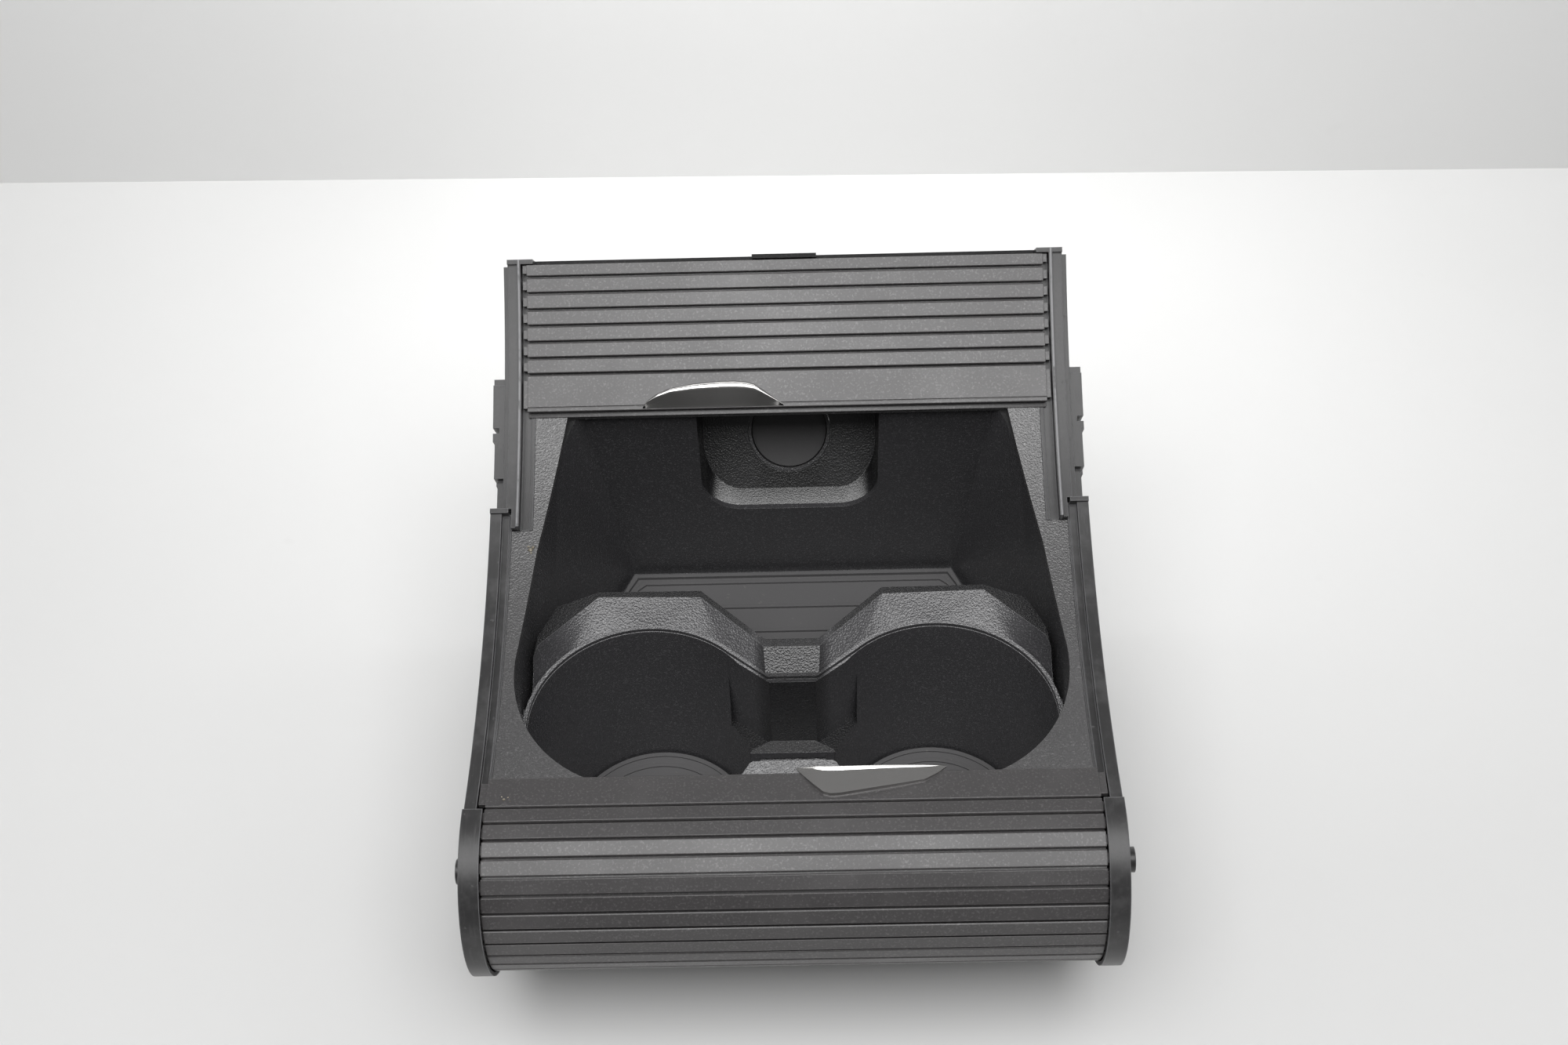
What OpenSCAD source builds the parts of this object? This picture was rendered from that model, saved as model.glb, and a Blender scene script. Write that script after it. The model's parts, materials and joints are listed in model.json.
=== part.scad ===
// Car console cup holder with two roller blinds over one opening.
// Millimetres. X runs across, +Y points to the far (upper) end, +Z up.
// Every height on the guide track is measured from the blind's top surface.

/* [Track] */
// Radius of the long hollow curve that both blinds slide on
track_r = 240; // [230:1:260]
// Radius of the tight curve at the near end
roll_r = 30.5; // [29:0.5:33]
// Angle at which the two curves meet, from upright
meet_tilt = 4.5; // [2:0.5:7]
// Height of the near curve's axis above the base
roll_z = 62; // [60:1:70]
// Length of track from the near curve to the far end
track_len = 197.5; // [196:0.5:202]

/* [Blinds] */
// Reach of the near blind past the wells' rims on each side
blind_over = 5.7; // [5:0.1:7]
// How much narrower the far blind is on each side
front_step = 5.3; // [5:0.1:6]
// Distance from one slat to the next
pitch = 5.6; // [5.4:0.05:5.7]
// Gap between two slats at their tops
slat_gap = 0.7; // [0.7:0.05:1.2]
// Thickness of a slat's top plate
slat_t = 1.1; // [1:0.05:1.2]
// Depth of the tongue's underside below the slat's top
tongue_z = 2.5; // [2.4:0.05:2.6]
// Reach of each end tab past the slat
tab_reach = 2.3; // [1.8:0.1:2.4]
// Place of the near blind's leading edge on the track
rear_edge = 12.6; // [12:0.1:13]
// Width of the near blind's lead bar
rear_lead = 10.75; // [10.6:0.05:11]
// Width of the far blind's lead bar
front_lead = 12.85; // [12:0.05:13.2]

/* [Rails] */
// Width of the near rails' outer flange
rear_flange = 3.8; // [3:0.1:5]
// Width by which the far rails stand out past the near rails' ridge
front_flange = 1; // [0.6:0.1:2]
// Length of the near rails past the closed near blind
rail_over = 6.8; // [6:0.1:8]
// Height of the rails
rail_h = 5.5; // [5:0.5:7]
// Thickness of the upright side frames
frame_t = 3; // [2.5:0.5:3]

/* [Opening and bin] */
// Rim of the bezel's opening round the wells
open_over = 5.7; // [5:0.1:6.5]
// How much the opening narrows on each side towards its far end
open_taper = 8.8; // [7:0.2:11]
// Wall of the bin
wall = 2; // [1.6:0.2:2.4]
// Height of the bin's floor below the near axis
bin_floor = 31; // [28:1:36]
// How far the bin's side walls lean in at its far end
bin_lean = 15.5; // [13:0.5:18]
// Distance of the bin's far wall past the opening
bin_over = 7; // [6:0.5:8]
// Width of the pocket in the far wall
pocket_w = 63; // [58:1:66]
// Depth of the pocket in the far wall
pocket_d = 10; // [8:0.5:11]

/* [Cups] */
// Radius of a cup well at its rim
cup_r = 39.3; // [38.5:0.1:39.6]
// Radius of a cup well at its floor
cup_floor_r = 34; // [32:0.5:36]
// Half the distance between the two wells
cup_x = 48.5; // [48:0.1:48.7]
// Gap between the cross tube and the wells
cup_gap = 3.7; // [3.5:0.1:5]
// Height of the rims above the near axis
rim_z = 7; // [5:0.5:9]
// Height of the wavy ridge above the rims
ridge_h = 8.5; // [7:0.5:9]

/* [Socket] */
// Radius of the round socket
socket_r = 15; // [13:0.5:16]
// Lean of the socket's axis up from level
socket_lean = 40; // [35:1:45]

/* [Hidden] */
$fn = 96;
arc_fn = 720;
eps = 0.01;

// Colours
plastic = [0.20, 0.19, 0.19];
blind_plastic = [0.27, 0.25, 0.25];
rubber = [0.13, 0.12, 0.12];
satin = [0.72, 0.72, 0.74];
zinc = [0.55, 0.56, 0.58];

// Wells and blinds across
tube_r = 7;
cup_y = tube_r + cup_gap + cup_r;
rear_w = 2 * (cup_x + cup_r + blind_over);
front_w = rear_w - 2 * front_step;

// Slats
rear_count = 16;
front_count = 7;
plate_w = pitch - slat_gap;
edge_draft = 0.45;
edge_chamfer = 0.3;
riser_w = 0.8;
riser_inset = 0.3;
tongue_reach = 2;
tongue_gap = 0.7;
tab_top = 0.8;
tab_bottom = 2.4;
tab_l = 3;
hem_w = 1.6;
lip_w = 1.3;
lip_groove = 0.45;

// Places along the track
front_end_gap = 0.85;
front_edge = track_len - front_end_gap - front_count * pitch - front_lead;
rear_rail_end = rear_edge + rear_count * pitch + rail_over;
front_rail_start = rear_rail_end - 5;

// Clearances
run_gap = 0.3;
fit_gap = 0.1;

// Track centres, in the frame of the near curve's axis
arc_y = (track_r + roll_r) * sin(meet_tilt);
arc_z = (track_r + roll_r) * cos(meet_tilt);

// Depths below the blind's top surface
slide_z = tongue_z + run_gap + 0.3;
bezel_t = 2.5;
bezel_bottom = slide_z + bezel_t;
flange_top = 0.5;
rail_bottom = flange_top + rail_h;
rail_cap = 1.6;

// Rails across
tab_x = rear_w / 2 + tab_reach;
groove_out = tab_x + 0.4;
groove_in = rear_w / 2 + run_gap;
ridge_in = groove_in - 0.7;
rear_rail_x = groove_out + rear_flange;
front_rail_x = groove_in + front_flange;
front_tab = 1.5;
front_groove_out = front_w / 2 + front_tab + 0.5;
front_groove_in = front_w / 2 - 1;
front_ridge_w = 1.2;
front_inner_x = front_groove_in - front_ridge_w;
front_block_x = ridge_in - 0.1;
floor_start = 10;

// Near end
rim_r = roll_r + 1.7;
race_out = roll_r + 0.4;
race_in = 20;
plate_out = rear_rail_x;
boss_r = 4;
boss_l = 6.3;
lap_y = 25;
frame_y = 12.2;

// Side frames
frame_out = groove_out + 0.8;
frame_in = frame_out - frame_t;
bracket_w = 4.3;

// Base
floor_t = 2;
base_z = -roll_z;

// Opening
open_r = cup_r + open_over;
open_cx = cup_x - 4;
open_cy = cup_y + 7;
open_near_y = open_cy - open_r;
open_mid = [cup_x + cup_r - 3.5, cup_y + cup_r + 9.2];
open_far_x = open_mid[0] - open_taper;
open_far_y = track_point(front_edge)[0] - 2.3;

// Bin
bin_top_z = 64;
bin_far_x = open_far_x - bin_lean;
bin_far_y = open_far_y + bin_over;

// Socket
socket_y = bin_far_y + pocket_d + 13.6;
socket_z = 21.2;
sleeve_l = 24;
sleeve_ring = 1.6;

// Far end of the whole unit, centred front to back
far_y = track_point(track_len)[0] + 3;
sleeve_far_y = socket_y + sleeve_l * cos(socket_lean) + (socket_r + sleeve_ring) * sin(socket_lean);
roll_y = -(max(far_y, sleeve_far_y) - rim_r) / 2;

function degrees_of(arc, radius) = arc / radius * 180 / PI;
function slope(s) = s >= 0 ? degrees_of(s, track_r) - meet_tilt
                           : degrees_of(-s, roll_r) - meet_tilt;
function track_point(s) = s >= 0
    ? [arc_y + track_r * sin(slope(s)), arc_z - track_r * cos(slope(s))]
    : [-roll_r * sin(slope(s)), roll_r * cos(slope(s))];

// Placing

module placed() {
    translate([0, roll_y, roll_z]) children();
}

// Local frame on the track: Y along it, Z out of it
module on_track(s) {
    p = track_point(s);
    translate([0, p[0], p[1]]) rotate([slope(s), 0, 0]) children();
}

module extrude_x(x1, x2) {
    translate([x1, 0, 0]) rotate([90, 0, 90]) linear_extrude(x2 - x1) children();
}

module sided(side) {
    if (side > 0) children();
    else mirror([1, 0, 0]) children();
}

// Outlines in the Y-Z plane

module wedge(s1, s2, reach) {
    angles = [slope(s1), slope((s1 + s2) / 2), slope(s2)];
    polygon(concat([[0, 0]], [for (a = angles) reach * [sin(a), -cos(a)]]));
}

// Strip of the long curve between two depths
module band(s1, s2, top, bottom) {
    translate([arc_y, arc_z]) intersection() {
        difference() {
            circle(r = track_r + bottom, $fn = arc_fn);
            circle(r = track_r + top, $fn = arc_fn);
        }
        wedge(s1, s2, (track_r + bottom) * 1.2);
    }
}

// Everything above a depth of the long curve
module above(depth) {
    translate([arc_y, arc_z]) circle(r = track_r + depth, $fn = arc_fn);
}

// Slat section: plate, riser and tongue that runs under the next slat
module slat_section(width, tongue_side) {
    half = width / 2;
    mirror([tongue_side > 0 ? 1 : 0, 0]) union() {
        polygon([[-half + edge_chamfer, 0], [half - edge_chamfer, 0],
                 [half, -edge_chamfer], [half - edge_draft, -slat_t],
                 [-half + edge_draft, -slat_t], [-half, -edge_chamfer]]);
        translate([-half + riser_inset, -tongue_z])
            square([riser_w, tongue_z - slat_t + eps]);
        translate([-half - tongue_reach, -tongue_z])
            square([tongue_reach + riser_inset + riser_w, tongue_gap]);
    }
}

module end_tabs(width, reach, length) {
    for (side = [-1, 1])
        sided(side) translate([width / 2, -length / 2, -tab_bottom])
            cube([reach, length, tab_bottom - tab_top]);
}

module slat(width, reach, tongue_side) {
    extrude_x(-width / 2, width / 2) slat_section(plate_w, tongue_side);
    end_tabs(width, reach, tab_l);
}

// Near blind

function rear_slat_s(i) = rear_edge - rear_lead - slat_gap - plate_w / 2 - pitch * (i - 1);
function front_slat_s(i) = front_edge + front_lead + slat_gap + plate_w / 2 + pitch * (i - 1);

module rear_slat(i) {
    color(blind_plastic) placed() on_track(rear_slat_s(i)) slat(rear_w, tab_reach, -1);
}

// The last far slat ends short of the rails' end caps, with no tongue
module front_slat(i) {
    trim = i == front_count ? track_len - rail_cap - run_gap - front_slat_s(i) : plate_w;
    color(blind_plastic) placed() on_track(front_slat_s(i)) intersection() {
        slat(front_w, front_tab, 1);
        translate([-front_w, -plate_w, -plate_w]) cube([2 * front_w, plate_w + trim, 2 * plate_w]);
    }
}

// Lead bar: a wider slat with a hem under its free edge, with or without a lip groove
module lead_bar(width, length, reach, tongue_side, lip_depth) {
    extrude_x(-width / 2, width / 2) difference() {
        union() {
            slat_section(length, tongue_side);
            mirror([tongue_side > 0 ? 1 : 0, 0])
                translate([length / 2 - edge_draft - hem_w, -tongue_z])
                    square([hem_w, tongue_z - slat_t + eps]);
        }
        mirror([tongue_side > 0 ? 1 : 0, 0])
            translate([length / 2 - lip_w - lip_groove, -lip_depth])
                square([lip_groove, 1]);
    }
    end_tabs(width, reach, length - 3);
}

module rear_lead_bar() {
    color(blind_plastic) placed() on_track(rear_edge - rear_lead / 2)
        lead_bar(rear_w, rear_lead, tab_reach, -1, -1);
}

module front_lead_bar() {
    color(blind_plastic) placed() on_track(front_edge + front_lead / 2)
        lead_bar(front_w, front_lead, front_tab, 1, lip_groove);
}

// Pull handles: crescent plates with a finger scoop behind a raised lip

handle_h = 3;
handle_lip = 1.4;
handle_seat = 0.05;

module handle(outline, scoop) {
    translate([0, 0, handle_seat]) difference() {
        linear_extrude(handle_h) polygon(outline);
        translate([0, 0, handle_lip]) linear_extrude(handle_h) polygon(scoop);
    }
}

module rear_handle() {
    half = rear_lead / 2;
    color(satin) placed() on_track(rear_edge - half)
        handle([[1, half - 0.6], [10.3, -half + 1.5], [18.4, -half + 0.9], [30, -half + 2.6],
                [42.7, -half + 6], [47.2, half - 0.2], [12, half - 0.8]],
               [[12.5, half + 1], [14, -half + 3.4], [20, -half + 2.8], [30, -half + 4.4],
                [41, -half + 7.6], [44, half + 1]]);
}

module front_handle() {
    half = front_lead / 2;
    color(satin) placed() on_track(front_edge + half)
        handle([[-48.3, -half + 0.5], [-41.9, -half + 5.4], [-32.6, -half + 7.7],
                [-26, -half + 8.4], [-14.1, -half + 8.7], [-10.1, -half + 7.6],
                [-1, -half + 0.5]],
               [[-45.5, -half - 1], [-40.5, -half + 3.6], [-32, -half + 5.9],
                [-26, -half + 6.6], [-14.6, -half + 6.9], [-11, -half + 5.8],
                [-4, -half - 1]]);
}

// Rails

module rear_rail(side) {
    color(plastic) placed() sided(side) {
        extrude_x(groove_out, rear_rail_x) band(0, rear_rail_end, flange_top, rail_bottom);
        extrude_x(groove_in, groove_out)
            band(floor_start, rear_rail_end, tab_bottom + run_gap, rail_bottom);
        extrude_x(ridge_in, groove_in) band(floor_start, rear_rail_end, slide_z, rail_bottom);
        rail_end_cap(groove_in, rear_rail_x, rear_rail_end);
    }
}

// Closed end of a rail, which also stops the blind's tabs
module rail_end_cap(x1, x2, s) {
    extrude_x(x1, x2) band(s - eps, s + rail_cap, -0.8, rail_bottom);
}

module front_rail(side) {
    lip = 0.8;
    lip_x = front_groove_out + front_ridge_w;
    end = track_len - rail_cap;
    color(plastic) placed() sided(side) {
        extrude_x(front_inner_x, front_groove_in)
            band(front_rail_start, end, slide_z, rail_bottom);
        extrude_x(front_groove_in, front_groove_out)
            band(front_rail_start, end, slide_z + 0.4, rail_bottom);
        extrude_x(front_groove_out, lip_x)
            band(front_rail_start, end, -lip, rail_bottom);
        extrude_x(lip_x, front_block_x)
            band(front_rail_start, end, flange_top, rail_bottom);
        extrude_x(front_block_x, front_rail_x)
            band(rear_rail_end + 1.8, end, flange_top, rail_bottom);
        rail_end_cap(front_inner_x, front_rail_x, end);
    }
}

// Near end: side plates with the blind's race, a rim and a locating boss

module half_disc(radius) {
    intersection() {
        circle(r = radius);
        rotate(-meet_tilt) translate([-2 * radius, -2 * radius])
            square([2 * radius, 4 * radius]);
    }
}

module side_plate(side) {
    lower = 10;
    color(plastic) placed() sided(side) difference() {
        union() {
            extrude_x(groove_out, plate_out) {
                half_disc(rim_r);
                difference() {
                    translate([-boss_r, -rim_r]) square([frame_y + boss_r - fit_gap, 2 * rim_r]);
                    above(rail_bottom);
                    rotate(-meet_tilt) translate([-2 * rim_r, 0]) square(2 * rim_r);
                }
            }
            extrude_x(groove_in, groove_out + eps) {
                difference() {
                    half_disc(rim_r);
                    circle(r = race_out);
                }
                circle(r = tube_r + 4);
            }
            extrude_x(frame_out, plate_out)
                translate([0, -rim_r]) square([lap_y, rim_r + lower]);
            rotate([0, 90, 0]) cylinder(r = boss_r, h = plate_out + boss_l);
        }
        rotate([0, 90, 0]) translate([0, 0, -eps])
            cylinder(r = tube_r + fit_gap, h = groove_out + 1);
        for (p = lap_screws) translate([0, p[0], p[1]]) rotate([0, 90, 0])
            cylinder(r = screw_r + fit_gap, h = plate_out + 5);
    }
}

module cross_tube() {
    half = groove_out + 0.8;
    color(plastic) placed() rotate([0, 90, 0]) difference() {
        cylinder(r = tube_r, h = 2 * half, center = true);
        cylinder(r = tube_r - 2, h = 2 * half + 1, center = true);
    }
}

// Side frames

screw_r = 1.5;
screw_head_r = 3;
screw_head_h = 1.8;
lap_screws = [[19, 2], [19, -24]];
bin_screws = [[cup_y + 14, -22], [bin_far_y - 42, -22], [cup_y + 10, 12]];

module side_frame_outline() {
    foot_y = bin_far_y - 18;
    difference() {
        polygon([[frame_y, base_z], [foot_y, base_z], [foot_y + 8, base_z + 8],
                 [far_y - 12, 30], [far_y, track_point(track_len)[1] - rail_bottom],
                 track_point(track_len), [far_y - 60, 160], [frame_y, 60]]);
        above(rail_bottom);
        for (w = frame_windows) translate([w[0], w[1]]) square([w[2], w[3]]);
        translate([far_y, -200]) square(400);
    }
}

frame_windows = [[32, -50, 22, 20], [74, -50, 22, 20], [bin_far_y - 38, -50, 14, 20],
                 [74, -8, 22, 14], [bin_far_y - 32, -10, 20, 20], [bin_far_y - 6, 6, 18, 18]];

module side_frame(side) {
    color(plastic) placed() sided(side) difference() {
        union() {
            extrude_x(frame_in, frame_out) side_frame_outline();
            extrude_x(frame_in - 1.6, frame_in + eps)
                translate([frame_y + 2, base_z]) square([110, 4]);
        }
        for (p = concat(lap_screws, bin_screws)) translate([0, p[0], p[1]])
            rotate([0, 90, 0]) cylinder(r = screw_r + fit_gap, h = 200);
    }
}

// Bar that ties the side frames together under the far blind
module far_crossbar() {
    s1 = track_len - 13;
    s2 = track_len;
    tab_half = 11;
    top = rail_bottom + 0.02;
    color(plastic) placed() {
        extrude_x(-frame_in, frame_in) {
            band(s1, s2, top, top + 2.4);
            band(s1, s1 + 2, top, top + 9);
        }
        extrude_x(-tab_half, tab_half) band(s2 - 1.4, s2, -0.6, top + eps);
    }
}

// Outer mounting brackets on the side frames

module bracket(side) {
    x1 = frame_out;
    x2 = frame_out + bracket_w;
    s1 = bracket_end - 34.5;
    s2 = bracket_end;
    slot = bracket_end - 18;
    deep = 22;
    top = 8;
    color(plastic) placed() sided(side) difference() {
        union() {
            extrude_x(x1, x2) band(s1, s2, top, top + deep);
            extrude_x(x1, x2 - 1.5) band(s1 - 12, s1 + eps, top + 3, top + deep - 6);
        }
        extrude_x(x2 - 2.2, x2 + 1) band(slot - 0.9, slot + 0.9, top - 1, top + deep + 1);
        extrude_x(x2 - 0.7, x2 + 1) band(s1 - 1, slot - 3.8, top - 1, top + 9);
        extrude_x(x2 - 2.7, x2) band(s1 - 10, s1 - 3, top + 4.5, top + deep - 8);
        extrude_x(x1 - 1, x2 + 1) band(s2 - 2.4, s2 + 1, top - 1, top + 2);
        on_track(bracket_bore_s) translate([0, 0, -bracket_bore_z]) rotate([0, 90, 0])
            cylinder(r = bracket_bore_r, h = 200);
    }
}

bracket_end = track_len - 39;
bracket_bore_s = bracket_end - 8.5;
bracket_bore_z = 19;
bracket_bore_r = 2.2;

// Screws

screw_l = 5.8;

module screw() {
    translate([-screw_l, 0, 0]) rotate([0, 90, 0]) {
        cylinder(r = screw_r, h = screw_l + eps);
        translate([0, 0, screw_l]) cylinder(r = screw_head_r, h = screw_head_h);
    }
}

module frame_screws() {
    color(zinc) placed() for (side = [-1, 1]) sided(side) {
        for (p = lap_screws) translate([plate_out, p[0], p[1]]) screw();
        for (p = bin_screws) translate([frame_out, p[0], p[1]]) screw();
    }
}

// Opening outline in plan

module opening(grow) {
    for (side = [-1, 1]) translate([side * open_cx, open_cy]) circle(r = open_r + grow);
    x1 = open_cx + (open_r + grow) * cos(10);
    y1 = open_cy + (open_r + grow) * sin(10);
    polygon([[-open_cx, open_near_y - grow], [open_cx, open_near_y - grow], [x1, y1],
             [open_mid[0] + grow, open_mid[1]], [open_far_x + grow, open_far_y + grow],
             [-open_far_x - grow, open_far_y + grow], [-open_mid[0] - grow, open_mid[1]],
             [-x1, y1]]);
}

module bezel() {
    near_s = 8.5;
    far_s = track_len - 2;
    color(plastic) placed() difference() {
        union() {
            extrude_x(-ridge_in + fit_gap, ridge_in - fit_gap)
                band(near_s, front_rail_start - 0.2, slide_z, bezel_bottom);
            extrude_x(-front_inner_x + fit_gap, front_inner_x - fit_gap)
                band(front_rail_start - 0.3, far_s, slide_z, bezel_bottom);
        }
        linear_extrude(200, center = true) opening(0);
    }
}

// Bin

// Near half of the bin, drawn round the wells
bin_fit = cup_r + 2;
bin_near_pts = [[cup_x + bin_fit - 0.2, cup_y + 12], [cup_x + bin_fit - 0.2, cup_y - 11],
                [cup_x + 30.4, cup_y - 29.8], [cup_x + 11.5, cup_y - bin_fit + 0.3]];
bin_bottom_pts = concat([[bin_far_x, bin_far_y], [bin_far_x + 3, bin_far_y - 8],
                         [bin_far_x + 16, cup_y + 58], [cup_x + 37.5, cup_y + 38]], bin_near_pts);
bin_top_pts = concat([[open_far_x - 4, bin_far_y], [open_far_x + 1, bin_far_y - 8],
                      [open_mid[0] + 0.8, open_mid[1]]], bin_near_pts);

function both_sides(pts) = concat(pts, [for (i = [len(pts) - 1:-1:0]) [-pts[i][0], pts[i][1]]]);
function grown(pts, d) = [for (p = pts)
    [p[0] + d, p[1] + (p[1] > open_cy ? (p[1] > bin_far_y - 4 ? d : 0) : -d * 0.7)]];

module bin_solid(grow, z1, z2) {
    hull() {
        translate([0, 0, z1]) linear_extrude(eps) polygon(both_sides(grown(bin_bottom_pts, grow)));
        translate([0, 0, z2]) linear_extrude(eps) polygon(both_sides(grown(bin_top_pts, grow)));
    }
}

module socket_frame() {
    translate([0, socket_y, socket_z]) rotate([90 - socket_lean, 0, 0]) children();
}

module pocket_outline(grow) {
    corner = 14;
    half = pocket_w / 2 + grow;
    low = 5 - grow;
    for (side = [-1, 1]) translate([side * (half - corner), low + corner]) circle(r = corner);
    translate([-half, low + corner]) square([2 * half, 60]);
    translate([-half + corner, low]) square([2 * half - 2 * corner, corner + 1]);
}

// Side outline of the pocket, with its leaning back
module pocket_side(grow) {
    back_y = bin_far_y + pocket_d;
    reach = 27;
    top_z = 60 + grow;
    far = back_y + reach + grow;
    polygon([[bin_far_y - 2, -10], [back_y + grow, -10], [back_y + grow, 5 - grow],
             [far, 5 - grow + reach * tan(90 - socket_lean)], [far, top_z],
             [bin_far_y - 2, top_z]]);
}

module pocket_solid(grow) {
    intersection() {
        translate([0, bin_far_y + 50, 0]) rotate([90, 0, 0]) linear_extrude(52)
            pocket_outline(grow);
        extrude_x(-60, 60) pocket_side(grow);
    }
}

module bin() {
    color(plastic) placed() difference() {
        union() {
            bin_solid(wall, -bin_floor - wall, bin_top_z);
            for (p = bin_screws) extrude_x(-frame_in + fit_gap, frame_in - fit_gap)
                translate([p[0], p[1]]) circle(r = 3.4);
        }
        bin_solid(0, -bin_floor, bin_top_z + eps);
        pocket_solid(0);
        extrude_x(-200, 200) above(bezel_bottom + 0.02);
        for (side = [-1, 1], p = bin_screws) sided(side)
            translate([frame_out - screw_l - 0.5, p[0], p[1]]) rotate([0, 90, 0])
                cylinder(r = screw_r + fit_gap, h = 20);
        translate([0, 0, -bin_floor - wall - 1]) linear_extrude(wall + 2) wells_outline(0.6);
    }
}

// Shell behind the bin's far wall, with a flange against it and a hole for the socket
module pocket_housing() {
    flange_w = 3;
    flange_t = 1.5;
    seat_y = bin_far_y + wall;
    color(plastic) placed() difference() {
        union() {
            pocket_solid(wall);
            translate([0, seat_y + flange_t, 0]) rotate([90, 0, 0]) linear_extrude(flange_t)
                pocket_outline(wall + flange_w);
        }
        pocket_solid(0);
        translate([-200, seat_y - 100, -100]) cube([400, 100, 300]);
        extrude_x(-200, 200) above(bezel_bottom + 0.02);
        socket_frame() cylinder(r = socket_r + fit_gap, h = 60, center = true);
    }
}

// Cup insert

neck_x = 8.5;
neck_y = cup_y + 18;
neck_z = -30;
neck_drop = 3;
neck_run = 7;
island_y = cup_y - 13.4;
ridge_near_y = cup_y - 18;

// Outline of both wells and the neck that joins them
module wells_outline(grow) {
    for (side = [-1, 1]) translate([side * cup_x, cup_y]) circle(r = cup_r + grow);
    polygon([[24 - cup_x, cup_y + 31 + grow], [-neck_x - grow / 2, neck_y + grow],
             [neck_x + grow / 2, neck_y + grow], [cup_x - 24, cup_y + 31 + grow],
             [cup_x - 26.5, cup_y - 22], [7 - grow / 2, island_y - grow],
             [-7 + grow / 2, island_y - grow], [26.5 - cup_x, cup_y - 22]]);
}

// Point at an angle round the right well, a distance past its rim
function round_well(angle, past) = [cup_x + (cup_r + past) * cos(angle),
                                    cup_y + (cup_r + past) * sin(angle)];

ridge_pts = [round_well(17.2, 1.2), round_well(39.9, 9), round_well(54.1, 14.4),
             round_well(70.6, 13.3), round_well(109.5, 13.1), [neck_x + 0.5, cup_y + 30.2]];
crest_pts = [round_well(10, 2.6), round_well(37, 6.4), round_well(69.8, 11.2),
             round_well(110.6, 10.4), [neck_x + 1.3, cup_y + 30.8]];

// Near half of the insert, just inside the bin
insert_near_pts = [for (p = bin_near_pts) [p[0] - 0.3, p[1] + (p[1] > cup_y ? -6 : 0.4)]];

module ridge_outline() {
    last = len(insert_near_pts) - 1;
    polygon(both_sides(concat([for (i = [last:-1:0]) insert_near_pts[i]], ridge_pts)));
}

// Space inside the ridge: from a well's round rim out to the straight edges of the crest
module ridge_hollow() {
    foot_r = cup_r + 1.8;
    hull() {
        translate([cup_x, cup_y, rim_z]) cylinder(r = foot_r, h = eps);
        translate([neck_x + 0.5, neck_y + 2, rim_z]) cube(eps);
        translate([0, 0, rim_z + ridge_h]) linear_extrude(eps)
            polygon(concat([[cup_x, ridge_near_y]], [round_well(0, 2.6)], crest_pts));
    }
}

// The crest dips between the wells, and its face there leans back
module neck_dip() {
    top_z = rim_z + ridge_h;
    reach = cup_x - 17.5;
    translate([0, cup_y + 70, 0]) rotate([90, 0, 0]) linear_extrude(70)
        polygon([[-neck_x - 1, top_z - neck_drop], [neck_x + 1, top_z - neck_drop],
                 [reach, top_z], [reach, top_z + 5], [-reach, top_z + 5], [-reach, top_z]]);
    extrude_x(-neck_x - 2, neck_x + 2)
        polygon([[ridge_near_y, rim_z], [neck_y + 2, rim_z],
                 [neck_y + 2 + neck_run, top_z - neck_drop + eps],
                 [ridge_near_y, top_z - neck_drop + eps]]);
}

module cup_insert() {
    bead_w = 1.3;
    bead_h = 0.9;
    deck_t = 2.2;
    cup_floor_z = base_z + floor_t;
    color(plastic) placed() difference() {
        union() {
            difference() {
                translate([0, 0, rim_z - deck_t]) linear_extrude(ridge_h + deck_t)
                    ridge_outline();
                for (side = [-1, 1]) sided(side) ridge_hollow();
                neck_dip();
                translate([-150, ridge_near_y - 100, rim_z]) cube([300, 100, 30]);
            }
            intersection() {
                translate([0, 0, rim_z - 1]) linear_extrude(bead_h + 1)
                    wells_outline(bead_w);
                translate([0, 0, -50]) linear_extrude(100) ridge_outline();
            }
            for (side = [-1, 1]) translate([side * cup_x, cup_y, base_z])
                cylinder(r1 = cup_floor_r + wall, r2 = cup_r + wall * 0.6,
                         h = rim_z - base_z - 0.5);
            translate([0, 0, neck_z - wall]) linear_extrude(rim_z - neck_z + wall - 1)
                intersection() {
                    wells_outline(0.4);
                    translate([-24, cup_y - 30]) square([48, 70]);
                }
            island();
        }
        for (side = [-1, 1]) translate([side * cup_x, cup_y, cup_floor_z])
            cylinder(r1 = cup_floor_r, r2 = cup_r, h = rim_z - cup_floor_z + bead_h + 1);
        translate([0, 0, neck_z]) linear_extrude(60) intersection() {
            wells_outline(-1.4);
            translate([-22, cup_y - 30]) square([44, 70]);
        }
        translate([0, 0, rim_z - 0.6]) linear_extrude(60) wells_outline(0);
    }
}

// Raised block between the wells on the near side
module island() {
    translate([0, island_y, rim_z - 2]) linear_extrude(6)
        polygon([[-18, -8.6], [-11, -3], [-6, -1], [6, -1], [11, -3], [18, -8.6],
                 [14, -20.6], [-14, -20.6]]);
}

// Mats

module cup_mat(side) {
    r = cup_floor_r - 0.6;
    z = base_z + floor_t;
    color(rubber) placed() translate([side * cup_x, cup_y, z]) {
        difference() {
            cylinder(r = r, h = 1.6);
            translate([0, 0, 1]) difference() {
                cylinder(r = r - 1.6, h = 2);
                cylinder(r = r - 4.6, h = 2);
            }
            translate([0, 0, 1]) difference() {
                cylinder(r = r - 6, h = 2);
                cylinder(r = 5, h = 2);
            }
        }
        for (a = [0:60:300]) rotate(a) translate([7, -0.6, 0.9]) cube([r - 15, 1.2, 0.7]);
    }
}

mat_pts = [[bin_far_x - 0.4, bin_far_y - 2.4], [bin_far_x + 2.5, bin_far_y - 9.5],
           [bin_far_x + 16, cup_y + 53.5]];

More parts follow.
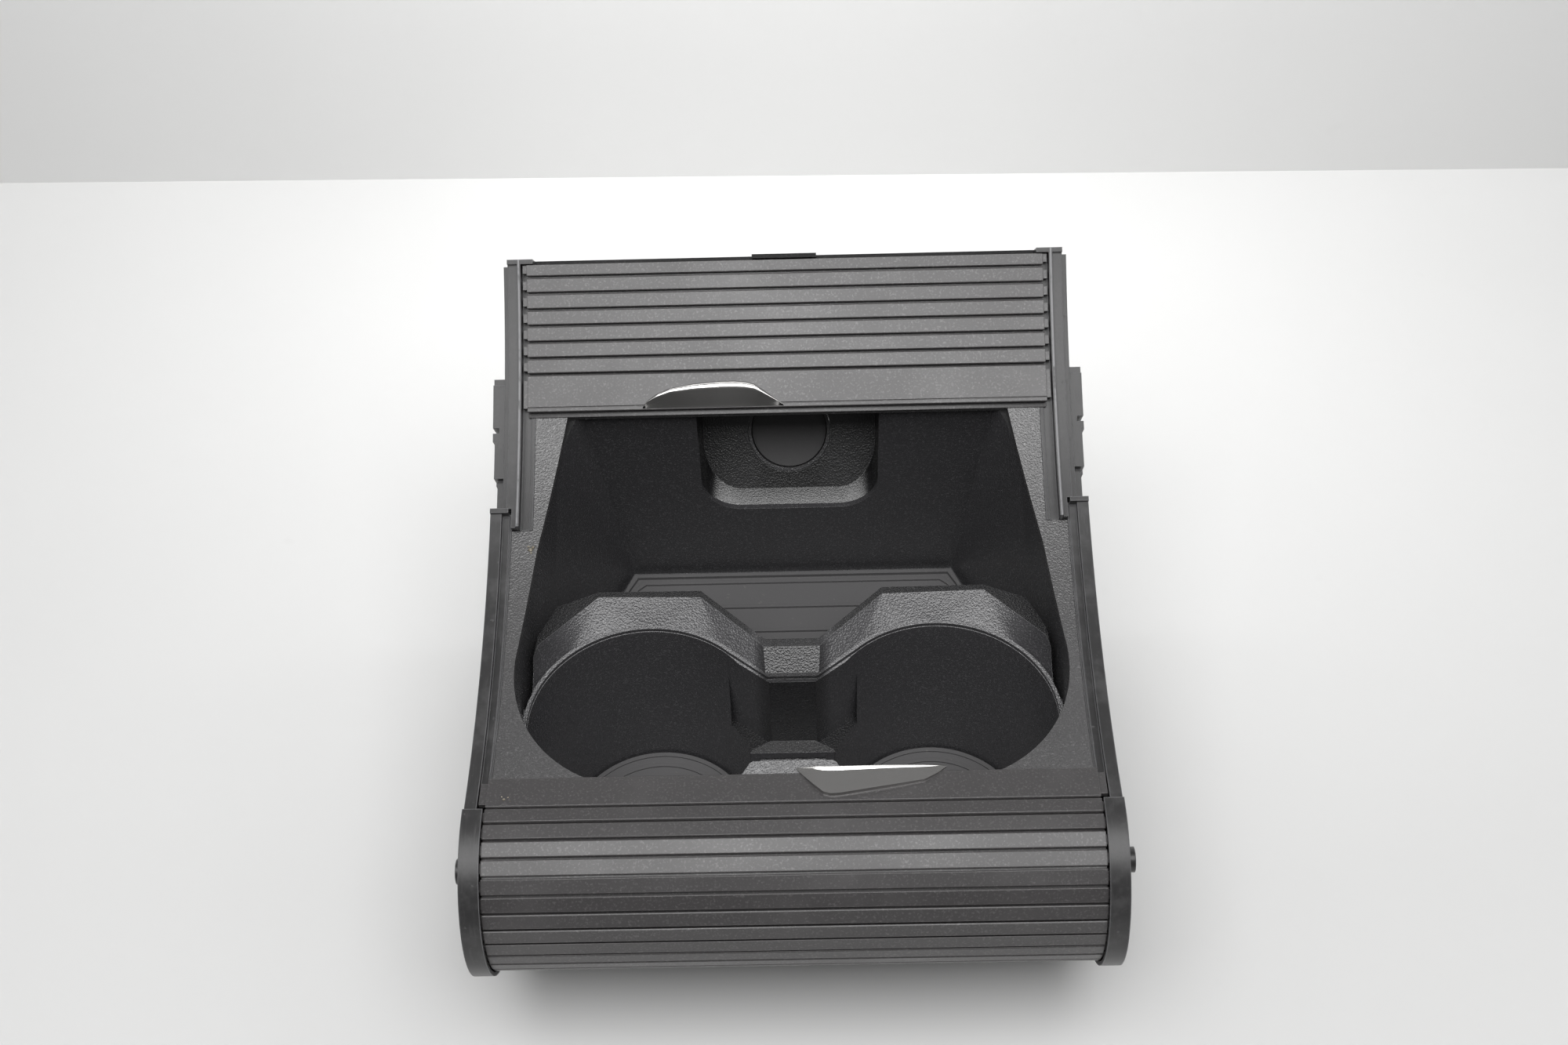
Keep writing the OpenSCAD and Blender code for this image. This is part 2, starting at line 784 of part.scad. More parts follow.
function pulled(pts, d) = [for (p = pts) [p[0] - d, p[1] - (p[1] > bin_far_y - 6 ? d : 0)]];

module storage_mat() {
    t = 1.2;
    rib = 1;
    near_x = mat_pts[2][0];
    near = mat_pts[2][1];
    color(rubber) placed() translate([0, 0, -bin_floor]) {
        linear_extrude(t) polygon(both_sides(mat_pts));
        linear_extrude(t + 1.4) difference() {
            polygon(both_sides(mat_pts));
            translate([0, -0.01]) polygon(both_sides(concat(pulled(mat_pts, 1.5),
                [[near_x - 1.5, near - 1]])));
        }
        linear_extrude(t + 0.9) difference() {
            polygon(both_sides(pulled(mat_pts, 3.2)));
            polygon(both_sides(concat(pulled(mat_pts, 4.6), [[near_x - 4.6, near - 1]])));
        }
        for (y = [bin_far_y - 18.8:-11.3:near + 1])
            translate([4 - bin_far_x, y, 0]) cube([2 * bin_far_x - 8, 1.2, t + rib]);
    }
}

// Round socket with its plain cover

module socket_sleeve() {
    color(plastic) placed() socket_frame() difference() {
        union() {
            translate([0, 0, -sleeve_l]) cylinder(r = socket_r, h = sleeve_l);
            translate([0, 0, -sleeve_l]) cylinder(r = socket_r + sleeve_ring, h = 2);
        }
        translate([0, 0, 2 - sleeve_l]) cylinder(r = socket_r - 1.2, h = sleeve_l);
    }
}

module socket_cap() {
    color(rubber) placed() socket_frame() translate([0, 0, -6]) {
        cylinder(r = socket_r - 1.4, h = 2.4);
        translate([0, 0, -12]) cylinder(r = socket_r - 3.5, h = 12 + eps);
    }
}

bezel();
bin();
pocket_housing();
cup_insert();
cup_mat(-1);  // cup_mat_left
cup_mat(1);  // cup_mat_right
storage_mat();
socket_sleeve();
socket_cap();
cross_tube();
side_frame(-1);  // side_frame_left
side_frame(1);  // side_frame_right
far_crossbar();
rear_rail(-1);  // rear_rail_left
rear_rail(1);  // rear_rail_right
front_rail(-1);  // front_rail_left
front_rail(1);  // front_rail_right
side_plate(-1);  // side_plate_left
side_plate(1);  // side_plate_right
bracket(-1);  // bracket_left
bracket(1);  // bracket_right
frame_screws();
rear_lead_bar();
rear_handle();
front_lead_bar();
front_handle();
for (i = [1:rear_count]) rear_slat(i);
for (i = [1:front_count]) front_slat(i);
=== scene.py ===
"""Looks of a car cup holder with two roller blinds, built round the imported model."""

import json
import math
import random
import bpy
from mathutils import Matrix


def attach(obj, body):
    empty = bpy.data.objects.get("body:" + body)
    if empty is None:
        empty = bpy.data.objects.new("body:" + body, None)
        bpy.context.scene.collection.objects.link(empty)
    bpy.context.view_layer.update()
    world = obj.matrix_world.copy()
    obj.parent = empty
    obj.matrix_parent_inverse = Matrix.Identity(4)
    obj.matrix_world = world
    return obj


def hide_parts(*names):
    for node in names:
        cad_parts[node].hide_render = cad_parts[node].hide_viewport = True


bl_info = {
    "name": "Cup Holder Looks",
    "version": (1, 0, 0),
    "blender": (4, 5, 0),
    "location": "View3D > Sidebar > Cup Holder",
    "description": "Finishes, pull handles, dust and studio for a car cup holder",
    "category": "Object",
}

import bmesh
import bpy
from mathutils import Euler, Matrix, Vector

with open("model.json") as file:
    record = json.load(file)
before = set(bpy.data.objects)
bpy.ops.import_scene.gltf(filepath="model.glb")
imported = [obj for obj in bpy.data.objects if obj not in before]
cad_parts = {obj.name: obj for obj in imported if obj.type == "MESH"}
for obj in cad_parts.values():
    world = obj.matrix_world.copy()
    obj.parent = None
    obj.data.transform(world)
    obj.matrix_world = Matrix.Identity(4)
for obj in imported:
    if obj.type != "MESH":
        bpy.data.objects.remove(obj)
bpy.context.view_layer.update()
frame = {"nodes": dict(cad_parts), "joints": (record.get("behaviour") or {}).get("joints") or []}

MM = 0.001

# Camera: place, turn in degrees about X, Y and Z, focal length in mm, nearest and furthest
CAMERA_PLACE = Vector((8.015, -386.885, 571.606)) * MM
CAMERA_TURN = (41.2443, 1.4628, -0.3160)
CAMERA_LENS = 42.65
CAMERA_CLIP = (0.01, 50)

# Guide track: centre and radius of its long curve, and its tilt in degrees at the near end
ARC_CENTRE = Vector(frame["joints"][0]["pos_m"])
TRACK_R = 240 * MM
MEET_TILT = 4.5

# Nodes and bodies that share a finish or a motion
HOUSING = "housing"
INNER = ("bin", "socket_sleeve", "cross_tube", "far_crossbar")
SIDES = ("left", "right")
RAILS = ("rear_rail", "front_rail", "side_plate", "bracket", "side_frame")
MATS = ("cup_mat_left", "cup_mat_right", "storage_mat", "socket_cap")

# Radius that the shading gives to an edge
MOULDED_EDGE = 0.25 * MM
RAIL_EDGE = 0.55 * MM
SLAT_EDGE = 0.3 * MM
MAT_EDGE = 0.2 * MM
SMOOTH_ANGLE = 28
WELD_GAP = 1e-6

# Masks over the moulded parts, which place painted shade and the leaned shading: each pair runs
# from 0 to 1
WELL_TOP = (62 * MM, 68 * MM)
BIN_RIM = (96 * MM, 102 * MM)
CREST = (74.5 * MM, 75.5 * MM)
NECK_HALF = 8 * MM
NECK_NEAR = (-42 * MM, -36 * MM)
# NECK_SHADE is how much painted shade the middle of the neck gets, and NECK_UNLEANED how much of
# the lean it loses
NECK_SHADE = 0.85
NECK_UNLEANED = 0.95
FACES_UP = (0.3, 0.5)
POCKET_FACES_UP = (0.25, 0.95)
RIM_FACES_UP = (0.5, 0.7)
CREST_FACES_UP = (0.86, 0.94)

# Lean of the shading: the direction it goes to, and between which squares of the normal's
# turn it fades, for a flat ledge and for a ridge
FRONT_LEAN = (0, -0.52, 0.85)
LEDGE_FADE = (0.05, 0.3)
RIDGE_FADE = (0.0, 0.6)

# Share of its colour that a face keeps under painted shade
RIM_SHADE = 0.2
WELL_SHADE = 0.3

# Inner ridge of the far rails: where its painted highlight line rises and falls, from the middle
RIDGE_RISE = (90.5 * MM, 90.6 * MM)
RIDGE_FALL = (91.1 * MM, 91.2 * MM)

GRAIN = 0.6 * MM
# Scale of the painted glints: pale specks in the colour that stand for glints of light
PAINTED_GLINT_SCALE = 1350
# Pale colours of the edges: partly wear, partly a painted highlight along them
RAIL_EDGE_WEAR_AND_HIGHLIGHT = (0.30, 0.30, 0.31)
SLAT_EDGE_WEAR_AND_HIGHLIGHT = (0.22, 0.21, 0.21)

# Opening of the bezel: half width and place of its far edge, and how far it is carried on
OPENING_FAR = (75.5 * MM, 55.772 * MM)
OPENING_TAPER = 8.8 / 40.5
OPENING_MOVE = 3.9 * MM
OPENING_OVERLAP = 0.5 * MM
CUT_MIDDLE, CUT_HEIGHT = 100 * MM, 160 * MM

# Lip under the far blind, in mm: width, ends along the track, top level, thickness, edge
LIP_WIDTH, LIP_NEAR, LIP_FAR = 176.2, 143.25, 147.0
LIP_LEVEL, LIP_THICK, LIP_EDGE = -2.62, 0.34, 0.1

# Pull handles, in mm: (place along, width) of the plan, (share of the width, rise) across it
FAR_EDGE = ((0, 0.3), (1.6, 2.5), (4.8, 4.7), (9.4, 6.6), (17.4, 8.1), (26.8, 8.8),
            (31.5, 8.8), (34.8, 8.4), (38, 7.5), (41, 5.4), (44, 3.2), (47.9, 0.2))
FAR_RISE = ((0, 0.3), (0.06, 0.55), (0.4, 2.0), (0.66, 3.05), (0.74, 3.25), (0.84, 3.25),
            (0.92, 2.85), (0.97, 2.0), (1.0, 0.0))
NEAR_EDGE = ((0, 0.3), (1.1, 1.2), (3.1, 2.9), (7.0, 5.4), (16, 7.2), (27.2, 9.2), (33, 10.2),
             (36.0, 10.4), (38.2, 9.6), (41.0, 6.8), (44.5, 2.6), (46.4, 0.3))
NEAR_RISE = ((0, 0.0), (0.01, 1.3), (0.04, 1.75), (0.13, 1.95), (0.15, 1.94), (0.195, 1.68),
             (0.5, 1.58), (0.9, 1.34), (0.985, 1.25), (1.0, 0.0))
# Piece, the node it stands for, its body, its free edge along the track and its end
# across it, plan, rise, whether it is turned round, and whether its free edge is crisp
HANDLES = (
    ("near_pull", "rear_handle", "rear_lead", 14.0, 47.6, NEAR_EDGE, NEAR_RISE, True, True),
    ("far_pull", "front_handle", "front_blind", 145.1, -48.9, FAR_EDGE, FAR_RISE, False, False),
)
HANDLE_ROWS, HANDLE_COLUMNS = 36, 96
TIP_RISE = 0.15
FULL_RISE_WIDTH = 0.75
HANDLE_SINK = 0.05
CRISP_ANGLE, ROUND_ANGLE = 24, 60

# Crumbs: name, place along the track, (across, along, out), body, slot, seed, and
# the (place, size) of each, in mm
CRUMBS = (
    ("bezel_crumbs", 97, (-86.5, 0, -3.0), HOUSING, "plastic", 3,
     (((0, 0, 0), 0.8), ((0.8, 0.9, 0), 0.6), ((-0.7, 1.2, 0), 0.5), ((0.3, -1.1, 0), 0.4))),
    ("bar_crumbs", 4.5, (-88, 0, 0.05), "rear_lead", "blind", 5,
     (((0, 0, 0), 0.42), ((1.2, 0.8, 0), 0.3), ((-0.8, 1.0, 0), 0.25), ((2.0, -0.6, 0), 0.2))),
)
CRUMB_LEAST, CRUMB_SPREAD, CRUMB_FLAT = 0.7, 0.5, 0.45

# Studio, in metres: table, wall and what the softboxes aim at. BACKGROUND is what the
# camera sees past them, and FILL_FADE is where the fill light rises, from front to back
TABLE_SIZE = (4, 4, 0.02)
TABLE_EDGE = 0.002
WALL_WIDTH, WALL_HEIGHT = 4, 0.5
AIM = (0, 0, 0.08)
BACKGROUND = 0.75
FILL_FADE = (-1.0, -0.2)


# Places on the guide track


def track_matrix(arc_mm):
    """Frame on the guide track: X across, Y along it, Z out of it."""
    tilt = math.radians(math.degrees(arc_mm * MM / TRACK_R) - MEET_TILT)
    out = Matrix.Rotation(tilt, 4, "X")
    foot = ARC_CENTRE + out @ Vector((0, 0, -TRACK_R))
    return Matrix.Translation(foot) @ out


# Materials


class Field:
    """A number over a surface. Arithmetic on it adds Math nodes."""

    def __init__(self, maker, socket):
        self.maker = maker
        self.socket = socket

    def maths(self, operation, *values):
        inputs = dict(enumerate(values))
        return self.maker.node("ShaderNodeMath", {"operation": operation}, inputs)

    def __add__(self, other):
        return self.maths("ADD", self, other)

    def __radd__(self, other):
        return self.maths("ADD", other, self)

    def __sub__(self, other):
        return self.maths("SUBTRACT", self, other)

    def __rsub__(self, other):
        return self.maths("SUBTRACT", other, self)

    def __mul__(self, other):
        return self.maths("MULTIPLY", self, other)

    def __rmul__(self, other):
        return self.maths("MULTIPLY", other, self)

    def most(self, other):
        """The larger of the two at each point."""
        return self.maths("MAXIMUM", self, other)

    def step(self, low, high):
        """0 below low, 1 above high and a smooth rise between them."""
        return self.maker.node(
            "ShaderNodeMapRange",
            {"interpolation_type": "SMOOTHSTEP", "clamp": True},
            {"Value": self, "From Min": low, "From Max": high},
        )


class NodeMaker:
    """Adds nodes to a tree."""

    def __init__(self, tree):
        self.tree = tree

    def plug(self, socket, value):
        """Links a field to a socket, or sets the socket to a value."""
        if isinstance(value, Field):
            self.tree.links.new(value.socket, socket)
        elif value is not None:
            socket.default_value = value

    def node(self, kind, settings=None, inputs=None, output=0):
        """Adds a node: its settings first, then the values or links of its sockets."""
        made = self.tree.nodes.new(kind)
        for key, value in (settings or {}).items():
            setattr(made, key, value)
        for key, value in (inputs or {}).items():
            self.plug(made.inputs[key], value)
        return Field(self, made.outputs[output])


class Finish(NodeMaker):
    """One procedural material in the making."""

    def __init__(self, name):
        self.material = bpy.data.materials.new(name)
        self.material.use_nodes = True
        super().__init__(self.material.node_tree)
        self.tree.nodes.clear()
        self.shader = self.tree.nodes.new("ShaderNodeBsdfPrincipled")
        output = self.tree.nodes.new("ShaderNodeOutputMaterial")
        self.tree.links.new(self.shader.outputs["BSDF"], output.inputs["Surface"])
        self.place = self.node("ShaderNodeTexCoord", output="Object")

    def stretched(self, scale):
        return self.node("ShaderNodeMapping", None, {"Vector": self.place, "Scale": scale})

    def noise(self, scale, detail=2, roughness=0.5, place=None):
        inputs = {
            "Vector": place or self.place,
            "Scale": scale,
            "Detail": detail,
            "Roughness": roughness,
        }
        return self.node("ShaderNodeTexNoise", None, inputs)

    def cells(self, scale):
        return self.node(
            "ShaderNodeTexVoronoi",
            {"feature": "SMOOTH_F1"},
            {"Vector": self.place, "Scale": scale, "Smoothness": 0.6},
        )

    def blend(self, mask, under, over):
        """The colour under, covered by the colour over where the mask is 1."""
        return self.node(
            "ShaderNodeMix",
            {"data_type": "RGBA"},
            {0: mask, 6: self.colour(under), 7: self.colour(over)},
            output=2,
        )

    @staticmethod
    def colour(value):
        return value if isinstance(value, Field) else (*value, 1)

    def relief(self, height, depth, strength=1.0, under=None):
        """The normal of a height field, on top of the normal under it."""
        return self.node(
            "ShaderNodeBump",
            None,
            {"Strength": strength, "Distance": depth, "Height": height, "Normal": under},
        )

    def leaned(self, under, lean, mask):
        """The normal, leaned towards a direction where the mask is 1."""
        return self.node(
            "ShaderNodeMix", {"data_type": "VECTOR"}, {0: mask, 4: under, 5: lean}, output=1
        )

    def axis(self, name, vector=None):
        """One axis of a vector, or of the place in the object."""
        return self.node("ShaderNodeSeparateXYZ", None, {0: vector or self.place}, output=name)

    def edge_wear_and_highlight(self, rounded, low=0.01, high=0.12):
        """1 along the edges that the rounded normal turns over, 0 on the faces between."""
        flat = self.node("ShaderNodeNewGeometry", output="Normal")
        match = self.node(
            "ShaderNodeVectorMath",
            {"operation": "DOT_PRODUCT"},
            {0: rounded, 1: flat},
            output="Value",
        )
        return (1.0 - match).step(low, high)

    def soft_edges(self, radius):
        """The normal, rounded over the edges."""
        return self.node("ShaderNodeBevel", {"samples": 4}, {"Radius": radius})

    def finish(self, **sockets):
        """Sets the shader's sockets, named with _ for a space, and gives the material."""
        for name, value in sockets.items():
            if name == "Base_Color":
                value = self.colour(value)
            self.plug(self.shader.inputs[name.replace("_", " ")], value)
        return self.material


def share(colour, part):
    """A colour times a number."""
    return tuple(c * part for c in colour)


def rounded_tops_and_painted_shade(look, colour, base, normal, lean, facing, level):
    """Colour and normal of high faces that look up, shaded as their rounded form is by a leaned
    normal.

    Faces that look up from lower down, the crest and the middle of the neck get painted shade in
    their colour. level is for a flat ledge, which is judged by how far it is turned to the
    front, and otherwise by how far to the side.
    """
    high = look.axis("Z").step(*WELL_TOP)
    upward = look.axis("Z", normal).step(*facing)
    turned = look.axis("Y" if level else "X", normal)
    ahead = 1.0 - (turned * turned).step(*(LEDGE_FADE if level else RIDGE_FADE))
    crest = look.axis("Z").step(*CREST) * look.axis("Z", normal).step(*CREST_FACES_UP)
    across = look.axis("X")
    neck = 1.0 - (across * across).step(NECK_HALF ** 2, 3 * NECK_HALF ** 2)
    neck = neck * look.axis("Y").step(*NECK_NEAR)
    # painted shade: low up-facing faces, the crest and the neck's middle are darkened in the
    # colour
    dark = (upward * (1.0 - high)).most(crest).most(neck * NECK_SHADE)
    if not level:
        ahead = ahead * (1.0 - crest) * (1.0 - neck * NECK_UNLEANED)
    base = look.blend(dark, base, share(colour, WELL_SHADE))
    return base, look.leaned(normal, FRONT_LEAN, high * upward * ahead * lean)


def moulded_plastic(name, colour, roughness, grain_depth, dust,
                    lean=0, facing=FACES_UP, rim=False, level=False):
    """Dark plastic with a fine moulded grain, uneven gloss, a little dust and painted glints.

    lean is how far the shading of high faces that look up is leaned, with painted shade on them
    and on low faces, and rim paints shade on the top rim.
    """
    look = Finish(name)
    grain = look.cells(1 / GRAIN) + look.noise(2.2 / GRAIN, 1) * 0.5
    cloud = look.noise(22, 3, 0.6)
    # painted glints: pale specks in the colour that stand for glints of light on the grain
    painted_glint = look.noise(PAINTED_GLINT_SCALE, 2, 0.65).step(0.52, 0.68)
    specks = look.noise(1400, 1, 0.4).step(0.70, 0.78) * look.noise(60, 2).step(0.48, 0.62)
    pale_marks = (look.noise(9, 4, 0.62).step(0.45, 0.8) * dust).most(specks * dust * 3)
    pale = tuple(min(1.0, c * 3.2 + 0.05) for c in colour)
    base = look.blend(pale_marks.most(painted_glint * 0.30), colour, pale)
    normal = look.soft_edges(MOULDED_EDGE)
    gloss = roughness
    if rim:
        # painted shade on the bin's top rim: up-facing faces there are darkened in the colour
        shaded = look.axis("Z").step(*BIN_RIM) * look.axis("Z", normal).step(*RIM_FACES_UP)
        base = look.blend(shaded, base, share(colour, RIM_SHADE))
        gloss = shaded * 0.55 + roughness
    if lean:
        base, normal = rounded_tops_and_painted_shade(look, colour, base, normal, lean, facing, level)
    return look.finish(
        Base_Color=base,
        Roughness=gloss + (cloud - 0.5) * 0.16 + pale_marks * 0.3 - painted_glint * 0.12,
        Normal=look.relief(grain, grain_depth * MM, 0.9, normal),
        IOR=1.66,
    )


def scuffed_plastic(name, colour, roughness):
    """Smooth dark plastic of the rails: scuffs along the track, rub marks, edges painted pale as
    wear and as a painted highlight, and a painted highlight line on the inner ridge.
    """
    look = Finish(name)
    along = look.stretched((1, 0.10, 0.10))
    streaks = look.noise(1000, 3, 0.6, along).step(0.54, 0.74)
    rubs = look.noise(95, 4, 0.68).step(0.46, 0.70)
    chips = look.noise(420, 2, 0.5).step(0.68, 0.76)
    pale_marks = (streaks * 0.4).most(rubs * 0.55).most(chips)
    pale = tuple(c * 2.6 + 0.03 for c in colour)
    scratches = look.noise(1600, 2, 0.5, along)
    rounded = look.soft_edges(RAIL_EDGE)
    across = look.axis("X")
    rise, fall = ((across * across).step(*(x * x for x in ends))
                  for ends in (RIDGE_RISE, RIDGE_FALL))
    ridge = rise * (1.0 - fall)
    # edges painted pale, partly wear and partly painted highlight, and a painted highlight line
    # along the inner ridge
    wear_and_highlight = look.edge_wear_and_highlight(rounded).most(ridge * look.noise(120, 3, 0.6).step(0.30, 0.50))
    normal = look.relief(scratches, 0.03 * MM, 0.6, rounded)
    base = look.blend(pale_marks * 0.6, colour, pale)
    return look.finish(
        Base_Color=look.blend(wear_and_highlight * 0.75, base, RAIL_EDGE_WEAR_AND_HIGHLIGHT),
        Roughness=roughness + pale_marks * 0.26 - rubs * 0.08,
        Normal=normal,
        IOR=1.5,
    )


def slat_plastic(name, colour, roughness):
    """Satin plastic of the blinds: faint grain, cloudy gloss, dust in the low light, painted
    glints, and edges painted pale, partly as wear and partly as a painted highlight.
    """
    look = Finish(name)
    grain = look.noise(2600, 1, 0.5)
    cloud = look.noise(30, 4, 0.6)
    wide = look.noise(8, 2, 0.5, look.stretched((0.5, 1, 1)))
    specks = look.noise(1000, 1, 0.35).step(0.70, 0.78)
    # painted glints: pale specks in the colour that stand for glints of light; the pale marks
    # mix dust, specks and these glints
    painted_glint = look.noise(PAINTED_GLINT_SCALE, 2, 0.6).step(0.52, 0.72)
    pale_marks = (cloud.step(0.5, 0.8) * 0.14).most(specks * 0.35).most(painted_glint * 0.34)
    pale = tuple(c * 2.6 + 0.06 for c in colour)
    rounded = look.soft_edges(SLAT_EDGE)
    # edges painted pale: partly wear, partly a painted highlight along the rounded edges
    wear_and_highlight = look.edge_wear_and_highlight(rounded)
    normal = look.relief(grain, 0.03 * MM, 0.5, rounded)
    return look.finish(
        Base_Color=look.blend(wear_and_highlight * 0.45, look.blend(pale_marks, colour, pale), SLAT_EDGE_WEAR_AND_HIGHLIGHT),
        Roughness=roughness + (cloud - 0.5) * 0.22 + (wide - 0.5) * 0.14 - painted_glint * 0.06,
        Normal=normal,
        IOR=1.62,
    )


def mat_rubber(name, colour):
    """Dull rubber with a fine grain and a little lint."""
    look = Finish(name)
    grain = look.noise(1500, 2, 0.55)
    lint = look.noise(700, 2, 0.4).step(0.70, 0.76)
    return look.finish(
        Base_Color=look.blend(lint * 0.3, colour, (0.25, 0.24, 0.22)),
        Roughness=0.62 + (grain - 0.5) * 0.2,
        Normal=look.relief(grain, 0.05 * MM, 0.7, look.soft_edges(MAT_EDGE)),
    )


def satin_chrome(name, colour):
    """Bright metal finish of the handles, brushed across and a little smeared."""
    look = Finish(name)
    brushed = look.noise(900, 2, 0.5, look.stretched((0.06, 1, 1)))
    smear = look.noise(120, 3, 0.6)
    return look.finish(
        Base_Color=look.blend(smear.step(0.5, 0.8) * 0.25, colour, share(colour, 0.75)),
        Metallic=1.0,
        Roughness=0.18 + (brushed - 0.5) * 0.06 + (smear - 0.5) * 0.05,
    )


def zinc_plate(name):
    """Zinc of the screws, with a faint bloom."""
    look = Finish(name)
    bloom = look.noise(600, 3, 0.6)
    return look.finish(
        Base_Color=look.blend(bloom, (0.42, 0.43, 0.45), (0.6, 0.6, 0.6)),
        Metallic=1.0,
        Roughness=0.35 + (bloom - 0.5) * 0.2,
    )


def dried_crumb(name):
    """Dry crust, dark to pale."""
    look = Finish(name)
    crust = look.noise(1800, 3, 0.6)
    return look.finish(
        Base_Color=look.blend(crust.step(0.35, 0.7), (0.10, 0.085, 0.06), (0.48, 0.44, 0.36)),
        Roughness=0.9,
        Normal=look.relief(crust, 0.15 * MM),
    )


def painted_board(name, colour, one_sided=False):
    """Off-white board of the table and the wall, with faint marks.

    A one-sided board is clear from behind.
    """
    look = Finish(name)
    cloud = look.noise(3, 3, 0.5)
    marks = look.noise(40, 2, 0.5).step(0.74, 0.80)
    base = look.blend(cloud.step(0.3, 0.8) * 0.5, colour, share(colour, 0.93))
    shown = None
    if one_sided:
        shown = 1.0 - look.node("ShaderNodeNewGeometry", output="Backfacing")
    return look.finish(
        Base_Color=look.blend(marks * 0.06, base, (0.5, 0.5, 0.48)),
        Roughness=0.5,
        Alpha=shown,
    )


# Meshes


def object_from(bm, name):
    """Ends a bmesh as an object in the scene."""
    mesh = bpy.data.meshes.new(name)
    bm.to_mesh(mesh)
    bm.free()
    piece = bpy.data.objects.new(name, mesh)
    bpy.context.scene.collection.objects.link(piece)
    return piece


def smooth_corners(piece, angle=SMOOTH_ANGLE):
    """Smooth curves, with the corners that are sharper than an angle kept crisp."""
    for face in piece.data.polygons:
        face.use_smooth = True
    weld = piece.modifiers.new("Weld", "WELD")
    weld.merge_threshold = WELD_GAP
    split = piece.modifiers.new("Corners", "EDGE_SPLIT")
    split.split_angle = math.radians(angle)
    split.use_edge_sharp = False


def coat(piece, material):
    """Gives a CAD node, or a copy of one, its finish in place of the plain one."""
    held = piece.data.attributes.get("custom_normal")
    if held:
        piece.data.attributes.remove(held)
    piece.data.materials.clear()
    piece.data.materials.append(material)
    smooth_corners(piece)


def dress(node, material):
    """Gives a CAD node its finish, by name."""
    coat(frame["nodes"][node], material)


def between(stops, at):
    """Value at a place along a list of (place, value) stops."""
    for (x0, v0), (x1, v1) in zip(stops, stops[1:]):
        if at <= x1:
            part = (at - x0) / (x1 - x0)
            return v0 + (v1 - v0) * part
    return stops[-1][1]


def pull_handle(name, lead_edge, across, edge, profile, flip, crisp_edge):
    """Crescent pull. The profile says how it rises from the free edge to the curved one."""
    length = edge[-1][0]
    widest = max(width for _, width in edge)
    bm = bmesh.new()
    bmesh.ops.create_grid(bm, x_segments=HANDLE_COLUMNS, y_segments=HANDLE_ROWS, size=0.5)
    for vert in bm.verts:
        along = (vert.co.x + 0.5) * length
        part = vert.co.y + 0.5
        width = between(edge, along)
        full = min(1.0, width / (FULL_RISE_WIDTH * widest))
        rise = between(profile, part) * (TIP_RISE + (1 - TIP_RISE) * full)
        vert.co = Vector((along, part * width, rise)) * MM
    if not crisp_edge:
        bmesh.ops.smooth_vert(bm, verts=bm.verts, factor=0.5, use_axis_z=True)
    rim = [e for e in bm.edges if e.is_boundary]
    skirt = bmesh.ops.extrude_edge_only(bm, edges=rim)["geom"]
    for vert in (g for g in skirt if isinstance(g, bmesh.types.BMVert)):
        vert.co.z = -HANDLE_SINK * MM
    floor = [e for e in bm.edges if e.is_boundary]
    bmesh.ops.contextual_create(bm, geom=floor)
    turn = Matrix.Rotation(math.pi, 4, "Z") if flip else Matrix.Identity(4)
    shift = Matrix.Translation(Vector((across, 0, 0)) * MM)
    bm.transform(track_matrix(lead_edge) @ shift @ turn)
    bmesh.ops.recalc_face_normals(bm, faces=bm.faces)
    piece = object_from(bm, name)
    smooth_corners(piece, CRISP_ANGLE if crisp_edge else ROUND_ANGLE)
    return piece


def crumbs(name, spots, seed):
    """Small dried crumbs stuck to a surface: (place, size in mm) of each."""
    chance = random.Random(seed)
    bm = bmesh.new()
    for place, size in spots:
        made = bmesh.ops.create_icosphere(bm, subdivisions=2, radius=size * MM)["verts"]
        for vert in made:
            vert.co *= CRUMB_LEAST + CRUMB_SPREAD * chance.random()
            vert.co.z *= CRUMB_FLAT
            vert.co += place
    piece = object_from(bm, name)
    for face in piece.data.polygons:
        face.use_smooth = True
    return piece


def opened_bezel(material):
    """The bezel with its opening carried on below the far blind, as far as the bin reaches."""
    source = frame["nodes"]["bezel"]
    piece = bpy.data.objects.new("bezel_plate", source.data.copy())
    bpy.context.scene.collection.objects.link(piece)
    half, far = OPENING_FAR
    bm = bmesh.new()
    for vert in bmesh.ops.create_cube(bm, size=1)["verts"]:
        depth = OPENING_MOVE if vert.co.y > 0 else -OPENING_OVERLAP
        side = math.copysign(half - OPENING_TAPER * depth, vert.co.x)
        vert.co = Vector((side, far + depth, CUT_MIDDLE + vert.co.z * CUT_HEIGHT))
    cutter = object_from(bm, "opening_cutter")
    cut = piece.modifiers.new("Opening", "BOOLEAN")
    cut.operation = "DIFFERENCE"
    cut.solver = "EXACT"
    cut.object = cutter
    bpy.context.view_layer.update()
    graph = bpy.context.evaluated_depsgraph_get()
    shaped = bpy.data.meshes.new_from_object(piece.evaluated_get(graph))
    piece.modifiers.clear()
    piece.data = shaped
    bpy.data.objects.remove(cutter)
    coat(piece, material)
    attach(piece, HOUSING)
    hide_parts("bezel")


def closing_lip(material):
    """Thin lip under the free edge of the far blind, which slides below the near one."""
    bm = bmesh.new()
    bmesh.ops.create_cube(bm, size=1)
    size = Vector((LIP_WIDTH, LIP_FAR - LIP_NEAR, LIP_THICK)) * MM
    bmesh.ops.scale(bm, vec=size, verts=bm.verts)
    bmesh.ops.bevel(bm, geom=bm.edges, offset=LIP_EDGE * MM, segments=2, profile=0.5,
                    affect="EDGES", material=-1)
    drop = Matrix.Translation(Vector((0, 0, LIP_LEVEL - LIP_THICK / 2)) * MM)
    bm.transform(track_matrix((LIP_NEAR + LIP_FAR) / 2) @ drop)
    piece = object_from(bm, "closing_lip")
    piece.data.materials.append(material)
    smooth_corners(piece)
    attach(piece, "front_blind")


# Settings


